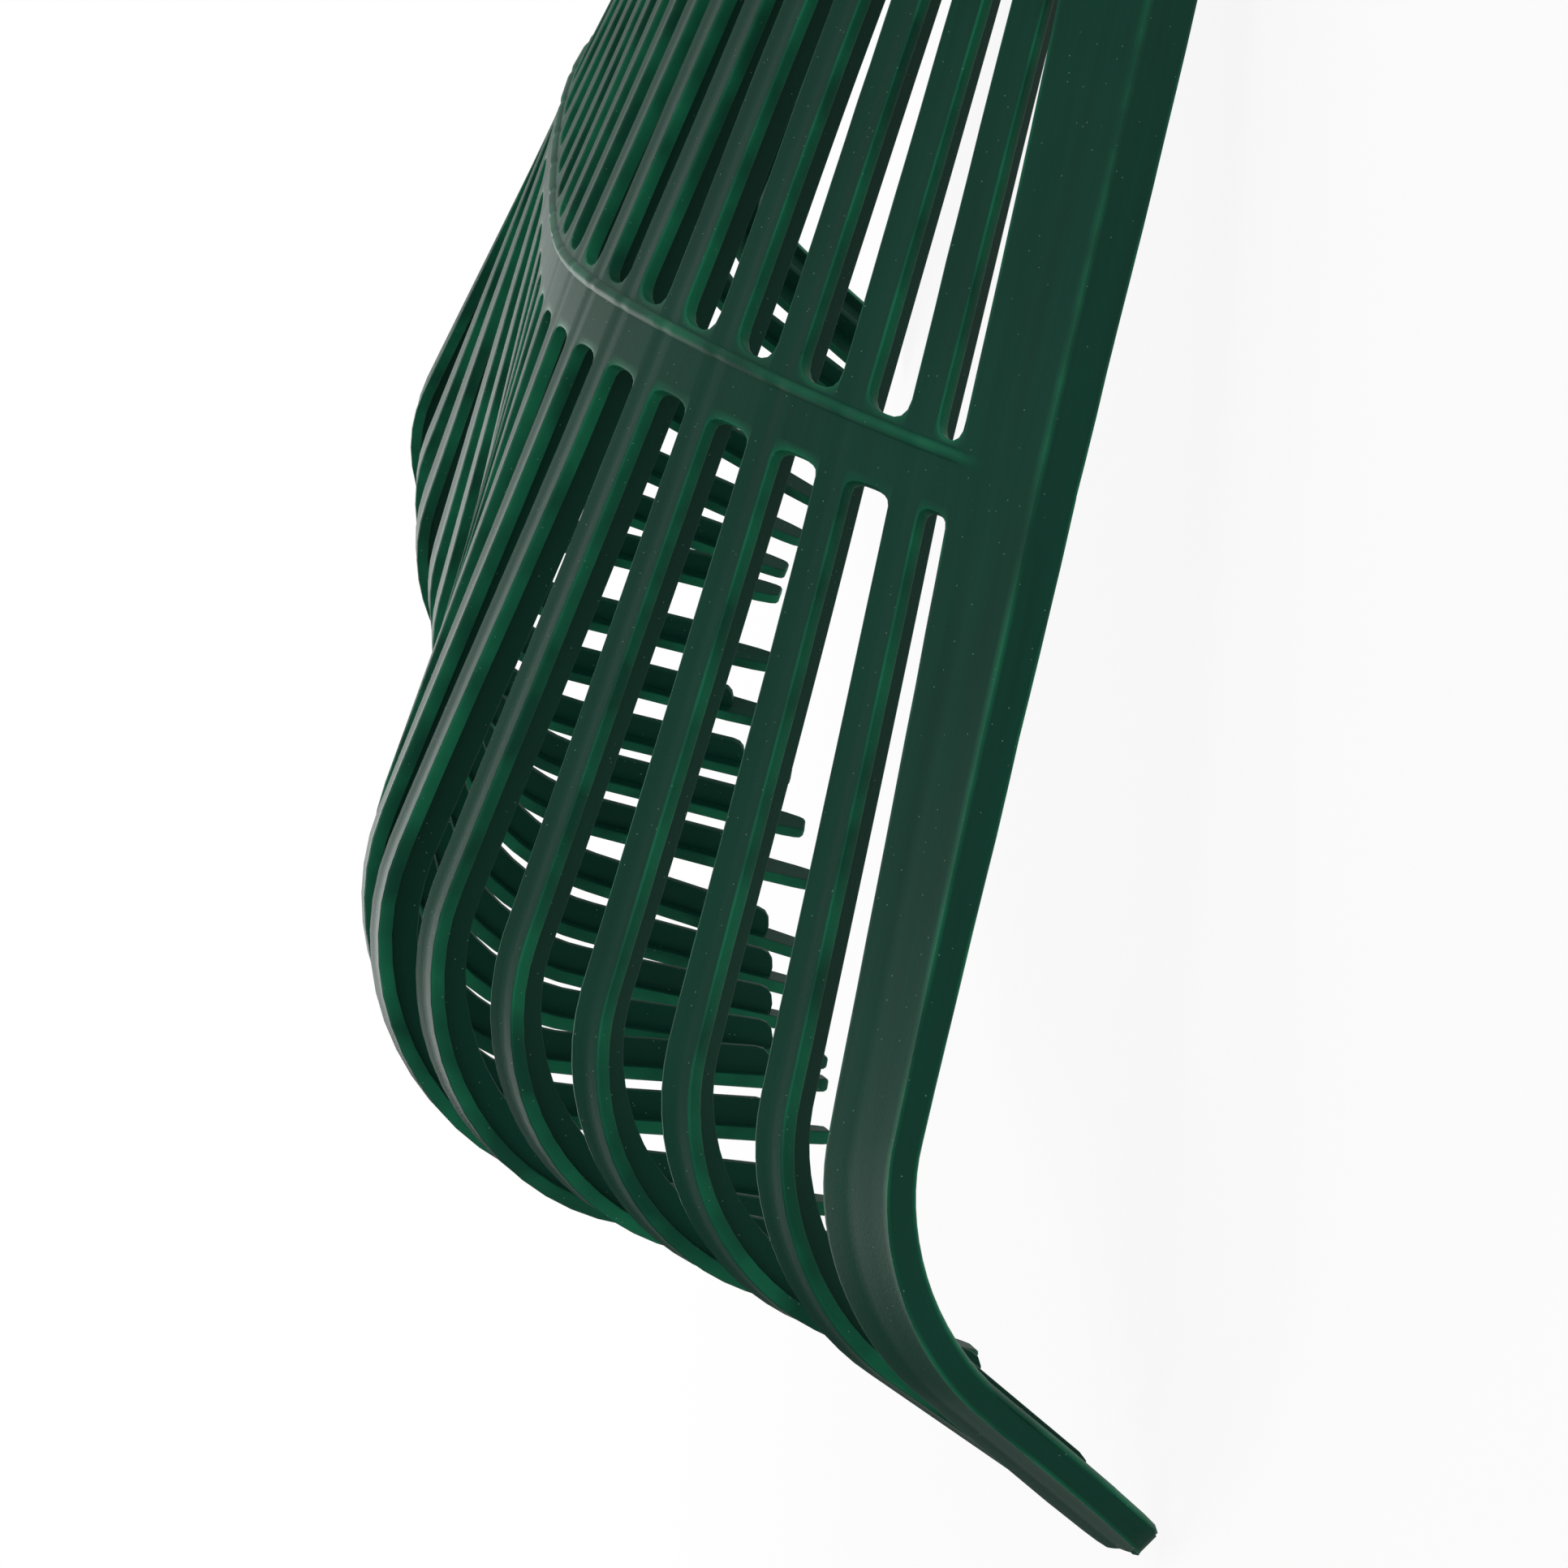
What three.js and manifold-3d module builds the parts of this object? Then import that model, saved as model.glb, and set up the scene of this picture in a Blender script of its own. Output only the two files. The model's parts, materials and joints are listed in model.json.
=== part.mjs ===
// A pair of leaf grabber hands: two ribbed, cupped plastic rakes worn one on each hand.
// Units are millimetres, +Z is up. The pair lies palm down on z = 0, one handle behind the other,
// and the origin is on the ground between them. X runs across the fans, Y along them.
// Each hand is a fan moulding, a grip bar screwed to its back and a soft sleeve on the bar.
import * as THREE from "three";
import { mergeVertices } from "three/addons/utils/BufferGeometryUtils.js";
import Module from "manifold-3d";

const wasm = await Module();
wasm.setup();

const CLEARANCE = 0.3; // between pieces that touch

// The fan. Every tine starts from a common centre, and distances along it are counted from
// the bead of the cross band: negative toward the handle, positive toward the tips.
const TINES = 25;
const FAN_HALF_ANGLE = 43.6; // from the middle tine to a side rail, degrees
const FAN_CROWDING = 0.1; // how much closer the tines stand toward the rails
const TINE_WIDTH = 4.9;
const SHELL = 1.8; // thickness of the flanges and of the band
const RIB_WIDTH = 1.6;
const RIB_DEPTH = 5.4; // from the outer face of the flange to the edge of the rib
const RIB_SETBACK = 8; // from the end of the rib to the end of the tip
const RIB_RUNOUT = 2.4; // length of the rib's rounded end
const RAIL_INNER = 4.8; // from a rail's line to the edge beside its slot
const RAIL_OUTER = 7.4; // and to its fold
const RETURN_WIDTH = 7.5; // the rail's turned down edge, at the handle end
const RETURN_END_WIDTH = 3;
const RETURN_ANGLE = 62; // down from the rail's face, degrees

// Shape along the fan. Each is [value at the middle tine, value at the side rails, and what is
// added halfway between them], so the shoulders beside the middle have their own shape.
const BEAD_RADIUS = [184, 200.5, 0]; // from the fan centre to the bead
const BEAD_HEIGHT = [0, -30.3, 5.7];
const UPPER_RISE = [0.357, 0.344, -0.052]; // slope up from the bead toward the handle
const LOWER_FALL = [0.56, 0.373, -0.2]; // slope down from the band toward the bend
const LOWER_LENGTH = [69.2, 77.9, 0.5]; // straight run from the bead to the bend
const BEND_RADIUS = [31.8, 25.3, 0];
const TIP_ANGLE = [115.2, 89.3, 13.9]; // direction of the tip below the horizontal, degrees
const TIP_LENGTH = [36, 26, 0];
const TIP_SWING = 3; // outward lean of the outermost tips, degrees

// The closed zones: the cross band and the plate at the handle end.
const BAND_TOP = -1.6;
const BAND_FOOT = 7.2;
const PLATE_START = [-56, -82, 0];
const PLATE_END = [-106, -102, 0];
const UPPER_ROUND = 2.6; // depth of the round slot ends
const LOWER_ROUND = 1.4;

// The grip: a bar on two feet that stand on level pads of the plate, square to its slope.
const PAD_U = 0.76; // place of the pads between the middle tine (0) and a rail (1)
const GRIP_HEIGHT = 54; // from the pads to the middle of the bar
const GRIP_ROD = 15; // diameter
const GRIP_BEND = 20; // radius of the bar's corners
const GRIP_STEPS = 30;
const SLEEVE_LENGTH = 74;
const SLEEVE_DIAMETER = 27;
const FOOT_DIAMETER = 19;
const FOOT_THICKNESS = 4;
const PAD_DIAMETER = 20.5;
const PAD_RISE = 1.5; // of the pads above the highest plate face under them
const BOSS_DROP = 4; // from the lowest plate face at a boss down to the screw head's seat
const SCREW_DIAMETER = 5;
const SCREW_HEAD = 9;
const SCREW_HEAD_HEIGHT = 3;
const SCREW_GRIP = 9; // of the screw in the foot and the bar's end
const HEAD_ROOM = 1.5; // round the screw head

const PAIR_GAP = 60; // between the grips of the two hands

const COLOURS = { moulding: 0x0e4634, sleeve: 0x1c1f1e, screw: 0xb9bcc0 };

// Small helpers.
const rad = THREE.MathUtils.degToRad;
const hump = (u) => (1 - Math.cos(2 * Math.PI * u)) / 2;
const humpSlope = (u) => Math.PI * Math.sin(2 * Math.PI * u);
const spread = ([middle, side, between], u) => middle + (side - middle) * u * u + between * hump(u);
const spreadSlope = ([middle, side, between], u) => 2 * (side - middle) * u + between * humpSlope(u);
const middleTine = (TINES - 1) / 2;
const tineU = (i) => (i - middleTine) / middleTine;
const UP = new THREE.Vector3(0, 0, 1);

function solidOf(geometry) {
  const bare = geometry.clone();
  bare.deleteAttribute("normal");
  bare.deleteAttribute("uv");
  const merged = mergeVertices(bare, 1e-4);
  return new wasm.Manifold(
    new wasm.Mesh({
      numProp: 3,
      vertProperties: new Float32Array(merged.attributes.position.array),
      triVerts: new Uint32Array(merged.index.array),
    }),
  );
}

function geometryOf(solid) {
  const mesh = solid.getMesh();
  const geometry = new THREE.BufferGeometry();
  geometry.setAttribute("position", new THREE.BufferAttribute(mesh.vertProperties, 3));
  geometry.setIndex(new THREE.BufferAttribute(mesh.triVerts, 1));
  return geometry;
}

function trianglesOf(points, faces) {
  const geometry = new THREE.BufferGeometry().setFromPoints(points);
  geometry.setIndex(faces);
  return geometry;
}

// Angle of a tine from the middle one, and how fast it grows across the fan.
const fanAngle = (u) => rad(FAN_HALF_ANGLE) * u * (1 + FAN_CROWDING * (1 - u * u));
const fanAngleSlope = (u) => rad(FAN_HALF_ANGLE) * (1 + FAN_CROWDING * (1 - 3 * u * u));

// Everything that is the same all along one tine.
function tineShape(u) {
  const angle = fanAngle(u);
  const radial = new THREE.Vector3(Math.sin(angle), -Math.cos(angle), 0);
  const across = new THREE.Vector3(Math.cos(angle), Math.sin(angle), 0);
  const fall = Math.atan(spread(LOWER_FALL, u));
  const tip = rad(spread(TIP_ANGLE, u));
  const swing = rad(TIP_SWING) * u;
  const start = radial.clone().multiplyScalar(Math.cos(fall)).addScaledVector(UP, -Math.sin(fall));
  const end = radial
    .clone()
    .multiplyScalar(Math.cos(tip))
    .addScaledVector(UP, -Math.sin(tip) * Math.cos(swing))
    .addScaledVector(across, Math.sin(tip) * Math.sin(swing));
  const bend = start.angleTo(end);
  const inward = end.clone().addScaledVector(start, -Math.cos(bend)).normalize();
  const radius = spread(BEND_RADIUS, u);
  const straight = spread(LOWER_LENGTH, u);
  return { u, radial, across, start, inward, bend, radius, straight, arc: radius * bend };
}

// Outer face of the moulding at a distance along a tine, with its three directions.
function frameAt(tine, distance) {
  const { u, radial, across, start, inward, bend, radius, straight } = tine;
  let reach = spread(BEAD_RADIUS, u);
  let crossSlope = spreadSlope(BEAD_HEIGHT, u);
  let along = start.clone();
  const origin = radial.clone().multiplyScalar(reach).addScaledVector(UP, spread(BEAD_HEIGHT, u));
  if (distance < 0) {
    const rising = radial.clone().addScaledVector(UP, -spread(UPPER_RISE, u));
    origin.addScaledVector(rising, distance);
    along = rising.normalize();
    reach += distance;
    crossSlope -= distance * spreadSlope(UPPER_RISE, u);
  } else {
    const run = Math.min(distance, straight);
    const turn = Math.min(Math.max(distance - straight, 0) / radius, bend);
    const rest = Math.max(distance - straight - radius * bend, 0);
    origin.addScaledVector(start, run + radius * Math.sin(turn));
    origin.addScaledVector(inward, radius * (1 - Math.cos(turn)));
    along.multiplyScalar(Math.cos(turn)).addScaledVector(inward, Math.sin(turn));
    origin.addScaledVector(along, rest);
    reach += run;
    crossSlope -= run * spreadSlope(LOWER_FALL, u);
  }
  const perTurn = 1 / (reach * fanAngleSlope(u));
  const side = across.clone().addScaledVector(UP, crossSlope * perTurn);
  side.addScaledVector(radial, spreadSlope(BEAD_RADIUS, u) * perTurn);
  side.addScaledVector(along, -side.dot(along)).normalize();
  const out = side.clone().cross(along).negate();
  return { origin, along, side, out };
}

const tines = Array.from({ length: TINES }, (_, i) => tineShape(tineU(i)));
const tipDistance = (tine) => tine.straight + tine.arc + spread(TIP_LENGTH, tine.u);

// Rows run from the handle end to the tips. A slot's round end makes a row curve between tines,
// so a row is a distance at the tine plus a bulge in the slot. A row that opens has a slot after
// it, toward the tips, and the rib is as deep as its share says.
const BEND_ROWS = 4;
const SLOT_STEPS = [0.2, 0.8];
const bulge = (step, round) => round * Math.sqrt(1 - (2 * step - 1) ** 4);

function rowsOf(tine) {
  const rows = [];
  const add = (distance, { opens = true, round = 0, rib = 1 } = {}) => {
    rows.push({ distance, opens, round, rib });
  };
  add(spread(PLATE_END, tine.u), { opens: false });
  add(spread(PLATE_START, tine.u) + UPPER_ROUND, { round: -UPPER_ROUND });
  add(BAND_TOP - UPPER_ROUND, { opens: false, round: UPPER_ROUND });
  add(0, { opens: false });
  add(BAND_FOOT + LOWER_ROUND, { round: -LOWER_ROUND });
  for (let k = 0; k <= BEND_ROWS; k += 1) {
    add(tine.straight + (tine.arc * k) / BEND_ROWS);
  }
  const tip = tipDistance(tine);
  add(tip - RIB_SETBACK - RIB_RUNOUT);
  add(tip - RIB_SETBACK, { rib: 0.4 });
  add(tip - TINE_WIDTH / 3, { rib: 0 });
  add(tip, { rib: 0 });
  return rows;
}

const rowsByTine = tines.map(rowsOf);
const ROWS = rowsByTine[0].length;
const narrowing = (row) => (row === ROWS - 1 ? 0.55 : 1);

// From a tine's line to its edge on one side: -1 toward -X, 1 toward +X.
function halfWidth(i, side) {
  if (i > 0 && i < TINES - 1) return TINE_WIDTH / 2;
  return (i === 0) === (side < 0) ? RAIL_OUTER : RAIL_INNER;
}

// A point of the outer face on tine i, off its middle line by a share of its half width.
function edgePoint(i, row, share) {
  const { distance } = rowsByTine[i][row];
  const frame = frameAt(tines[i], distance);
  const offset = share * halfWidth(i, share) * narrowing(row);
  return { point: frame.origin.clone().addScaledVector(frame.side, offset), frame };
}

// The folded edge of a rail narrows evenly from the plate to the bend, then stays thin.
function returnPoint(i, row, outward) {
  const { point, frame } = edgePoint(i, row, outward);
  const { distance } = rowsByTine[i][row];
  const from = spread(PLATE_END, tines[i].u);
  const share = Math.min(1, (distance - from) / (tines[i].straight - from));
  const width = RETURN_WIDTH + (RETURN_END_WIDTH - RETURN_WIDTH) * share;
  point.addScaledVector(frame.side, outward * width * Math.cos(rad(RETURN_ANGLE)));
  point.addScaledVector(frame.out, -width * Math.sin(rad(RETURN_ANGLE)));
  const side = frame.side.clone().multiplyScalar(outward * Math.sin(rad(RETURN_ANGLE)));
  return { point, out: side.addScaledVector(frame.out, Math.cos(rad(RETURN_ANGLE))) };
}

// A point between tines i and i + 1, where the band or the plate closes the slot.
function slotPoint(i, row, step) {
  const { round } = rowsByTine[i][row];
  const shift = (tine, share) => {
    const { distance } = rowsByTine[tine][row];
    const frame = frameAt(tines[tine], distance + bulge(step, round));
    return {
      point: frame.origin.clone().addScaledVector(frame.side, share * halfWidth(tine, share)),
      out: frame.out,
    };
  };
  const near = shift(i, 1);
  const far = shift(i + 1, -1);
  return { point: near.point.lerp(far.point, step), out: near.out.clone().lerp(far.out, step) };
}

// The moulding without its bosses: one closed sheet of even thickness, with the slots left open
// and a rib below every tine. A spot is a pair of points, on the outer face and on the inner one.
function fan() {
  const points = [];
  const faces = [];
  const keep = (point) => points.push(point) - 1;
  const face = (...corners) => {
    for (let k = 1; k + 1 < corners.length; k += 1) faces.push(corners[0], corners[k], corners[k + 1]);
  };
  const spotAt = ({ point, out }) => {
    const inner = point.clone().addScaledVector(out.normalize(), -SHELL);
    return { outer: keep(point), inner: keep(inner) };
  };
  const allRows = Array.from({ length: ROWS }, (_, row) => row);
  const openBelow = (row) => rowsByTine[0][row].opens;

  // Between two columns of spots: both faces, and the wall at each end of a stretch.
  const sheet = (left, right, isOpen) => {
    allRows.slice(0, -1).forEach((row) => {
      if (isOpen(row)) return;
      const [a, b, d, e] = [left[row], right[row], left[row + 1], right[row + 1]];
      face(a.outer, d.outer, e.outer, b.outer);
      face(a.inner, b.inner, e.inner, d.inner);
      if (row === 0 || isOpen(row - 1)) face(a.outer, b.outer, b.inner, a.inner);
      if (row === ROWS - 2 || isOpen(row + 1)) face(e.outer, d.outer, d.inner, e.inner);
    });
  };
  // The wall down the side of a column. Facing is 1 toward +X and -1 toward -X.
  const wall = (column, facing, isThere) => {
    allRows.slice(0, -1).forEach((row) => {
      if (!isThere(row)) return;
      const [a, d] = [column[row], column[row + 1]];
      if (facing > 0) face(a.outer, d.outer, d.inner, a.inner);
      else face(d.outer, a.outer, a.inner, d.inner);
    });
  };

  const edges = tines.map((_, i) =>
    [-1, 1].map((share) =>
      allRows.map((row) => {
        const { point, frame } = edgePoint(i, row, share);
        return spotAt({ point, out: frame.out });
      }),
    ),
  );
  const never = () => false;
  const always = () => true;

  // A tine's own stretch, with the rib's two base corners and two deep corners in each row.
  edges.forEach(([left, right], i) => {
    const ribs = allRows.map((row) => {
      const { distance, rib } = rowsByTine[i][row];
      const { origin, side, out } = frameAt(tines[i], distance);
      const corner = (across, depth) =>
        keep(origin.clone().addScaledVector(side, (across * RIB_WIDTH) / 2).addScaledVector(out, -depth));
      const deep = SHELL + (RIB_DEPTH - SHELL) * rib;
      return [corner(-1, SHELL), corner(1, SHELL), rib ? corner(-1, deep) : 0, rib ? corner(1, deep) : 0];
    });
    allRows.slice(0, -1).forEach((row) => {
      const [a, b, d, e] = [left[row], right[row], left[row + 1], right[row + 1]];
      const [baseL, baseR, deepL, deepR] = ribs[row];
      const [nextL, nextR, nextDeepL, nextDeepR] = ribs[row + 1];
      face(a.outer, d.outer, e.outer, b.outer);
      face(a.inner, baseL, nextL, d.inner);
      face(baseR, b.inner, e.inner, nextR);
      if (rowsByTine[i][row + 1].rib) {
        face(baseL, deepL, nextDeepL, nextL);
        face(deepL, deepR, nextDeepR, nextDeepL);
        face(deepR, baseR, nextR, nextDeepR);
      } else {
        face(baseL, baseR, nextR, nextL);
        if (rowsByTine[i][row].rib) face(baseR, baseL, deepL, deepR);
      }
    });
    const [first, last] = [0, ROWS - 1];
    const [baseL, baseR, deepL, deepR] = ribs[first];
    face(left[first].outer, right[first].outer, right[first].inner, baseR, baseL, left[first].inner);
    face(baseL, baseR, deepR, deepL);
    const [tipL, tipR] = ribs[last];
    face(right[last].outer, left[last].outer, left[last].inner, tipL, tipR, right[last].inner);
    if (i > 0) wall(left, -1, openBelow);
    if (i < TINES - 1) wall(right, 1, openBelow);
  });

  // Between neighbours, the plate and the band close the slot.
  edges.slice(0, -1).forEach(([, right], i) => {
    const middles = SLOT_STEPS.map((step) => allRows.map((row) => spotAt(slotPoint(i, row, step))));
    const columns = [right, ...middles, edges[i + 1][0]];
    columns.slice(0, -1).forEach((column, k) => sheet(column, columns[k + 1], openBelow));
  });

  // The folded edges of the two rails.
  const near = allRows.map((row) => spotAt(returnPoint(0, row, -1)));
  const far = allRows.map((row) => spotAt(returnPoint(TINES - 1, row, 1)));
  sheet(near, edges[0][0], never);
  wall(near, -1, always);
  sheet(edges[TINES - 1][1], far, never);
  wall(far, 1, always);
  return solidOf(trianglesOf(points, faces));
}

// The grip has its own frame: the origin on a level with the plate's face at the pads, midway
// between them, Z square to the slope of the plate's middle and X across the fan. The face leans
// away under the pads, so their tops stand clear of it and the bosses reach down through it.
const padFrame = frameAt(tineShape(PAD_U), (spread(PLATE_START, PAD_U) + spread(PLATE_END, PAD_U)) / 2);
const padX = padFrame.origin.x;
const gripTilt = Math.atan(UPPER_RISE[0]);
const gripUp = new THREE.Vector3(0, -Math.sin(gripTilt), Math.cos(gripTilt));
const faceFall = Math.tan(padFrame.out.angleTo(gripUp)) * (PAD_DIAMETER / 2);
const padTop = PAD_RISE + faceFall;
const bossFoot = -BOSS_DROP - faceFall;
const footSeat = padTop + CLEARANCE;
const screwTip = footSeat + SCREW_GRIP;
const gripMatrix = new THREE.Matrix4()
  .makeTranslation(0, padFrame.origin.y, padFrame.origin.z)
  .multiply(new THREE.Matrix4().makeRotationX(gripTilt));
const placed = (solid) => solid.transform(gripMatrix.elements);
const onPad = (solid, side) => solid.translate([side * padX, 0, 0]);

function cylinder(diameter, bottom, top, segments = 24) {
  const geometry = new THREE.CylinderGeometry(diameter / 2, diameter / 2, top - bottom, segments);
  geometry.rotateX(Math.PI / 2).translate(0, 0, (top + bottom) / 2);
  return solidOf(geometry);
}

const bothSides = (make) => [-1, 1].map((side) => make(side));

function screwHole() {
  const shaft = cylinder(SCREW_DIAMETER + 2 * CLEARANCE, bossFoot - 1, screwTip + CLEARANCE, 12);
  const below = cylinder(SCREW_HEAD + 2 * HEAD_ROOM, 2 * bossFoot, bossFoot);
  return wasm.Manifold.union([shaft, below]);
}

function scoop() {
  const bosses = bothSides((side) => onPad(cylinder(PAD_DIAMETER, bossFoot, padTop), side));
  const holes = bothSides((side) => onPad(screwHole(), side));
  const whole = wasm.Manifold.union([fan(), ...bosses.map(placed)]);
  return whole.subtract(wasm.Manifold.union(holes.map(placed)));
}

// The bar rises from one foot, turns, crosses over the valley and comes down to the other foot.
function gripBar() {
  const foot = footSeat;
  const level = padTop + GRIP_HEIGHT;
  const at = (x, z) => new THREE.Vector3(x, 0, z);
  const path = new THREE.CurvePath();
  const inner = padX - GRIP_BEND;
  const shoulder = level - GRIP_BEND;
  path.add(new THREE.LineCurve3(at(padX, foot + FOOT_THICKNESS / 2), at(padX, shoulder)));
  path.add(new THREE.QuadraticBezierCurve3(at(padX, shoulder), at(padX, level), at(inner, level)));
  path.add(new THREE.LineCurve3(at(inner, level), at(-inner, level)));
  path.add(new THREE.QuadraticBezierCurve3(at(-inner, level), at(-padX, level), at(-padX, shoulder)));
  path.add(new THREE.LineCurve3(at(-padX, shoulder), at(-padX, foot + FOOT_THICKNESS / 2)));
  const outline = new THREE.Shape().absarc(0, 0, GRIP_ROD / 2, 0, 2 * Math.PI);
  const options = { steps: GRIP_STEPS, extrudePath: path, curveSegments: 6, bevelEnabled: false };
  const rod = solidOf(new THREE.ExtrudeGeometry(outline, options));
  const feet = bothSides((side) => onPad(cylinder(FOOT_DIAMETER, foot, foot + FOOT_THICKNESS), side));
  const holes = bothSides((side) => onPad(screwHole(), side));
  const whole = wasm.Manifold.union([rod, ...feet]).subtract(wasm.Manifold.union(holes));
  return placed(whole);
}

function sleeve() {
  const ring = new THREE.Shape().absarc(0, 0, SLEEVE_DIAMETER / 2, 0, 2 * Math.PI);
  ring.holes.push(new THREE.Path().absarc(0, 0, GRIP_ROD / 2 + CLEARANCE, 0, 2 * Math.PI));
  const options = { depth: SLEEVE_LENGTH, curveSegments: 10, bevelEnabled: false };
  const geometry = new THREE.ExtrudeGeometry(ring, options);
  geometry.translate(0, 0, -SLEEVE_LENGTH / 2).rotateY(Math.PI / 2);
  return placed(solidOf(geometry.translate(0, 0, padTop + GRIP_HEIGHT)));
}

// A screw goes up through the pad's boss into the foot and the end of the bar.
function screw(side) {
  const top = bossFoot - CLEARANCE;
  const head = cylinder(SCREW_HEAD, top - SCREW_HEAD_HEIGHT, top);
  const shank = cylinder(SCREW_DIAMETER, top - SCREW_HEAD_HEIGHT / 2, screwTip, 12);
  return placed(onPad(wasm.Manifold.union([head, shank]), side));
}

// The tilt that settles the hand on its tips and on its handle end, found by halving.
function restingPose(solid) {
  const { vertProperties, numVert } = solid.getMesh();
  const points = Array.from({ length: numVert }, (_, k) => vertProperties.subarray(3 * k, 3 * k + 3));
  const middle = points.reduce((sum, point) => sum + point[1], 0) / numVert;
  const lowest = (some, tilt) =>
    Math.min(...some.map(([, y, z]) => y * Math.sin(tilt) + z * Math.cos(tilt)));
  const tips = points.filter(([, y]) => y < middle);
  const handle = points.filter(([, y]) => y >= middle);
  let [low, high] = [-Math.PI / 3, Math.PI / 3];
  for (let k = 0; k < 40; k += 1) {
    const tilt = (low + high) / 2;
    if (lowest(tips, tilt) < lowest(handle, tilt)) high = tilt;
    else low = tilt;
  }
  const tilt = (low + high) / 2;
  return { tilt, lift: -lowest(points, tilt) };
}

const materials = {
  moulding: new THREE.MeshStandardMaterial({ color: COLOURS.moulding, roughness: 0.42, metalness: 0 }),
  sleeve: new THREE.MeshStandardMaterial({ color: COLOURS.sleeve, roughness: 0.85, metalness: 0 }),
  screw: new THREE.MeshStandardMaterial({ color: COLOURS.screw, roughness: 0.3, metalness: 1 }),
};

const pieces = {
  scoop: [scoop(), materials.moulding],
  grip_bar: [gripBar(), materials.moulding],
  grip_sleeve: [sleeve(), materials.sleeve],
  grip_screw_left: [screw(-1), materials.screw],
  grip_screw_right: [screw(1), materials.screw],
};
const pose = restingPose(pieces.scoop[0]);

function hand(name) {
  const group = new THREE.Group();
  Object.entries(pieces).forEach(([piece, [solid, material]]) => {
    const mesh = new THREE.Mesh(geometryOf(solid), material);
    mesh.name = `${name}_${piece}`;
    group.add(mesh);
  });
  group.rotation.x = pose.tilt;
  const back = new THREE.Box3().setFromObject(group, true).max.y;
  group.position.set(0, -PAIR_GAP / 2 - back, pose.lift);
  return group;
}

const group = new THREE.Group();
const otherHand = new THREE.Group();
otherHand.add(hand("hand_b"));
otherHand.rotation.z = Math.PI;
group.add(hand("hand_a"), otherHand);

export default group;
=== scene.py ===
"""The looks of a pair of leaf grabber hands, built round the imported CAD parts.

Each hand is a cupped fan of ribbed tines moulded in dark green polypropylene, with a closed
cross band, two wide rails with folded edges, and a grip bar with a rubber sleeve held by two
screws. The fan follows the same formulas as the CAD, with rounded edges, the thin bead on the
band, sink marks over the ribs and tines that have warped a little in cooling. Sizes are in
millimetres, in the hand's own frame: X across the fan, Y toward the handle, Z toward the back.
"""

import json
import math
import random

import bmesh
import bpy
from mathutils import Matrix, Vector, noise


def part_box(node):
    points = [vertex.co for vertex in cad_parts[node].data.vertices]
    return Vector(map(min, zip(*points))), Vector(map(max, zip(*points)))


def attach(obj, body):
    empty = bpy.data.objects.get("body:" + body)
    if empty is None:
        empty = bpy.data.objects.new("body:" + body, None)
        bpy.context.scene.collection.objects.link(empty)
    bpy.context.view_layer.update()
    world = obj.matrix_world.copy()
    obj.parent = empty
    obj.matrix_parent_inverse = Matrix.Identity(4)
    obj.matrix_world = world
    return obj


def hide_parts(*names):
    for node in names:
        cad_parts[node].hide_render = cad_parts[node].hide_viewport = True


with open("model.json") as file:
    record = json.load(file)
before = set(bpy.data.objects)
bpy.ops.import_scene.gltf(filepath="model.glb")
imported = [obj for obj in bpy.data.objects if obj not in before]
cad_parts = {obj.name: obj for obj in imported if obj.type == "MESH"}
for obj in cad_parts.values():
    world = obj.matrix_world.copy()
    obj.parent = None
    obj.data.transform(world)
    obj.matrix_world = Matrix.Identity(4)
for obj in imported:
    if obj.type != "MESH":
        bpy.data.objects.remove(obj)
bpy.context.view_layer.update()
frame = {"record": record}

MM = 0.001
UP = Vector((0, 0, 1))
ACROSS = Vector((1, 0, 0))

# The fan, with the sizes of the CAD part.
TINES = 25
FAN_HALF_ANGLE = 43.6
FAN_CROWDING = 0.1
TINE_WIDTH = 4.9
SHELL = 1.8
RIB_WIDTH = 1.6
RIB_DEPTH = 5.4
RIB_SETBACK = 8
RIB_RUNOUT = 2.4
RAIL_INNER = 4.8
RAIL_OUTER = 7.4
RETURN_WIDTH = 7.5
RETURN_END_WIDTH = 3
RETURN_ANGLE = 62

# Shapes across the fan: [at the middle tine, at the rails, what is added halfway between].
BEAD_RADIUS = [184, 200.5, 0]
BEAD_HEIGHT = [0, -30.3, 5.7]
UPPER_RISE = [0.357, 0.344, -0.052]
LOWER_FALL = [0.56, 0.373, -0.2]
LOWER_LENGTH = [69.2, 77.9, 0.5]
BEND_RADIUS = [31.8, 25.3, 0]
TIP_ANGLE = [115.2, 89.3, 13.9]
TIP_LENGTH = [36, 26, 0]
TIP_SWING = 3
BAND_TOP = -1.6
BAND_FOOT = 7.2
PLATE_START = [-56, -82, 0]
PLATE_END = [-106, -102, 0]
UPPER_ROUND = 2.6
LOWER_ROUND = 1.4

# The grip, with the sizes of the CAD part.
PAD_U = 0.76
GRIP_HEIGHT = 54
GRIP_ROD = 15
GRIP_BEND = 20
SLEEVE_LENGTH = 74
SLEEVE_DIAMETER = 27
FOOT_DIAMETER = 19
FOOT_THICKNESS = 4
PAD_DIAMETER = 20.5
PAD_RISE = 1.5
BOSS_DROP = 4
SCREW_DIAMETER = 5
SCREW_HEAD = 9
SCREW_HEAD_HEIGHT = 3
SCREW_GRIP = 9
CLEARANCE = 0.3

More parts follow.
